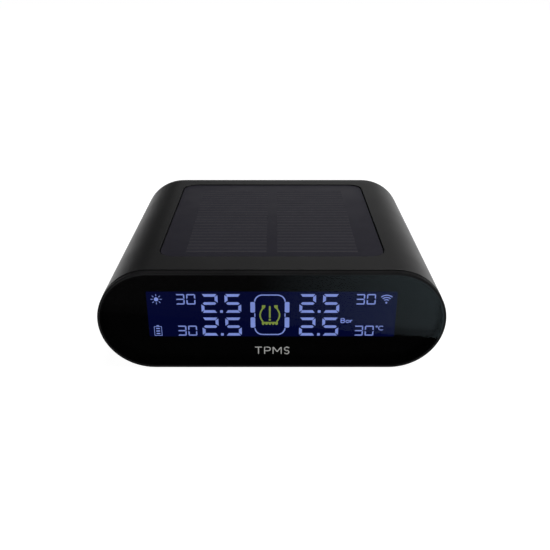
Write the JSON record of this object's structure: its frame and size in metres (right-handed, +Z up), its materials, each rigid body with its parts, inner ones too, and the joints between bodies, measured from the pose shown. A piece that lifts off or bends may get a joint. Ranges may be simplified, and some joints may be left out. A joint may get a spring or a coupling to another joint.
{
  "type": "tire pressure monitor display",
  "caption": "Solar-charged tyre pressure monitor display: flattened oval case, dark front window with a lit display, solar panel in the top, charging port and button at the back.",
  "frame": {"origin": "centre of the lower face of the pad that the object rests on", "axes": "+X along the width, to the right as seen from in front of the display; +Y from the display to the back wall; +Z up"},
  "size_m": [0.08, 0.074, 0.0252],
  "materials": {
    "case_plastic": "satin moulded black",
    "key_plastic": "satin black",
    "lens_acrylic": "polished, lightly smoked",
    "mask_ink": "opaque black print",
    "foam": "closed-cell foam tape",
    "polarizer_film": "smooth film",
    "lcd_glass": "clear",
    "light_guide": "clear, frosted back",
    "white_plastic": "white moulded",
    "white_film": "white film",
    "tray_plastic": "dark grey moulded",
    "solar_sheet": "smooth clear sheet",
    "solar_silicon": "thin-film silicon with printed fingers",
    "circuit_board": "green solder mask",
    "chip_epoxy": "moulded epoxy",
    "steel": "plated",
    "copper_wire": "enamelled copper",
    "foil_pouch": "laminated foil",
    "lead_red": "red insulation",
    "lead_black": "black insulation",
    "flex_film": "polyimide ribbon",
    "led_package": "white lamp",
    "pad_rubber": "matt, tacky"
  },
  "bodies": {
    "case": {"housing": "case_plastic", "front_lens": "lens_acrylic", "lens_mask": "mask_ink", "lens_gasket": "foam", "lcd_front_polarizer": "polarizer_film", "lcd_front_glass": "lcd_glass", "lcd_rear_glass": "lcd_glass", "lcd_rear_polarizer": "polarizer_film", "diffuser_sheet": "white_film", "light_guide": "light_guide", "reflector_sheet": "white_film", "display_frame": "white_plastic", "backlight_board": "circuit_board", "backlight_led_1": "led_package", "backlight_led_2": "led_package", "lcd_flex": "flex_film", "lcd_connector": "white_plastic", "chassis_tray": "tray_plastic", "battery_tape": "white_film", "battery_cell": "foil_pouch", "main_board": "circuit_board", "mcu_chip": "chip_epoxy", "motion_sensor": "chip_epoxy", "charger_chip": "chip_epoxy", "charge_inductor": "chip_epoxy", "crystal": "steel", "radio_chip": "chip_epoxy", "shield_can": "steel", "buzzer": "chip_epoxy", "storage_capacitor": "foil_pouch", "antenna_coil": "copper_wire", "usb_socket_shell": "steel", "usb_socket_tongue": "chip_epoxy", "switch_body": "steel", "solar_tape": "white_film", "solar_backing": "circuit_board", "solar_cell_left": "solar_silicon", "solar_cell_right": "solar_silicon", "solar_cover": "solar_sheet", "battery_socket": "white_plastic", "battery_plug": "white_plastic", "solar_socket": "white_plastic", "solar_plug": "white_plastic", "battery_lead_red": "lead_red", "battery_lead_black": "lead_black", "solar_lead_red": "lead_red", "solar_lead_black": "lead_black", "mounting_pad": "pad_rubber", "case_screw_1": "steel", "board_screw_1": "steel", "case_screw_2": "steel", "board_screw_2": "steel", "case_screw_3": "steel", "board_screw_3": "steel", "case_screw_4": "steel", "board_screw_4": "steel", "display_screw_1": "steel", "display_screw_2": "steel"},
    "button": {"power_button": "key_plastic"},
    "plunger": {"switch_plunger": "chip_epoxy"}
  },
  "joints": [
    {"name": "button_press", "type": "slide", "parent": "case", "child": "button", "axis": [0, -1, 0], "range_m": [0, 0.0003], "stiffness_N_per_m": 4000},
    {"name": "plunger_press", "type": "slide", "parent": "case", "child": "plunger", "axis": [0, -1, 0], "range_m": [0, 0.0003], "stiffness_N_per_m": 100}
  ],
  "couplings": [
    {"joint": "plunger_press", "follows": "button_press", "ratio": 1}
  ]
}
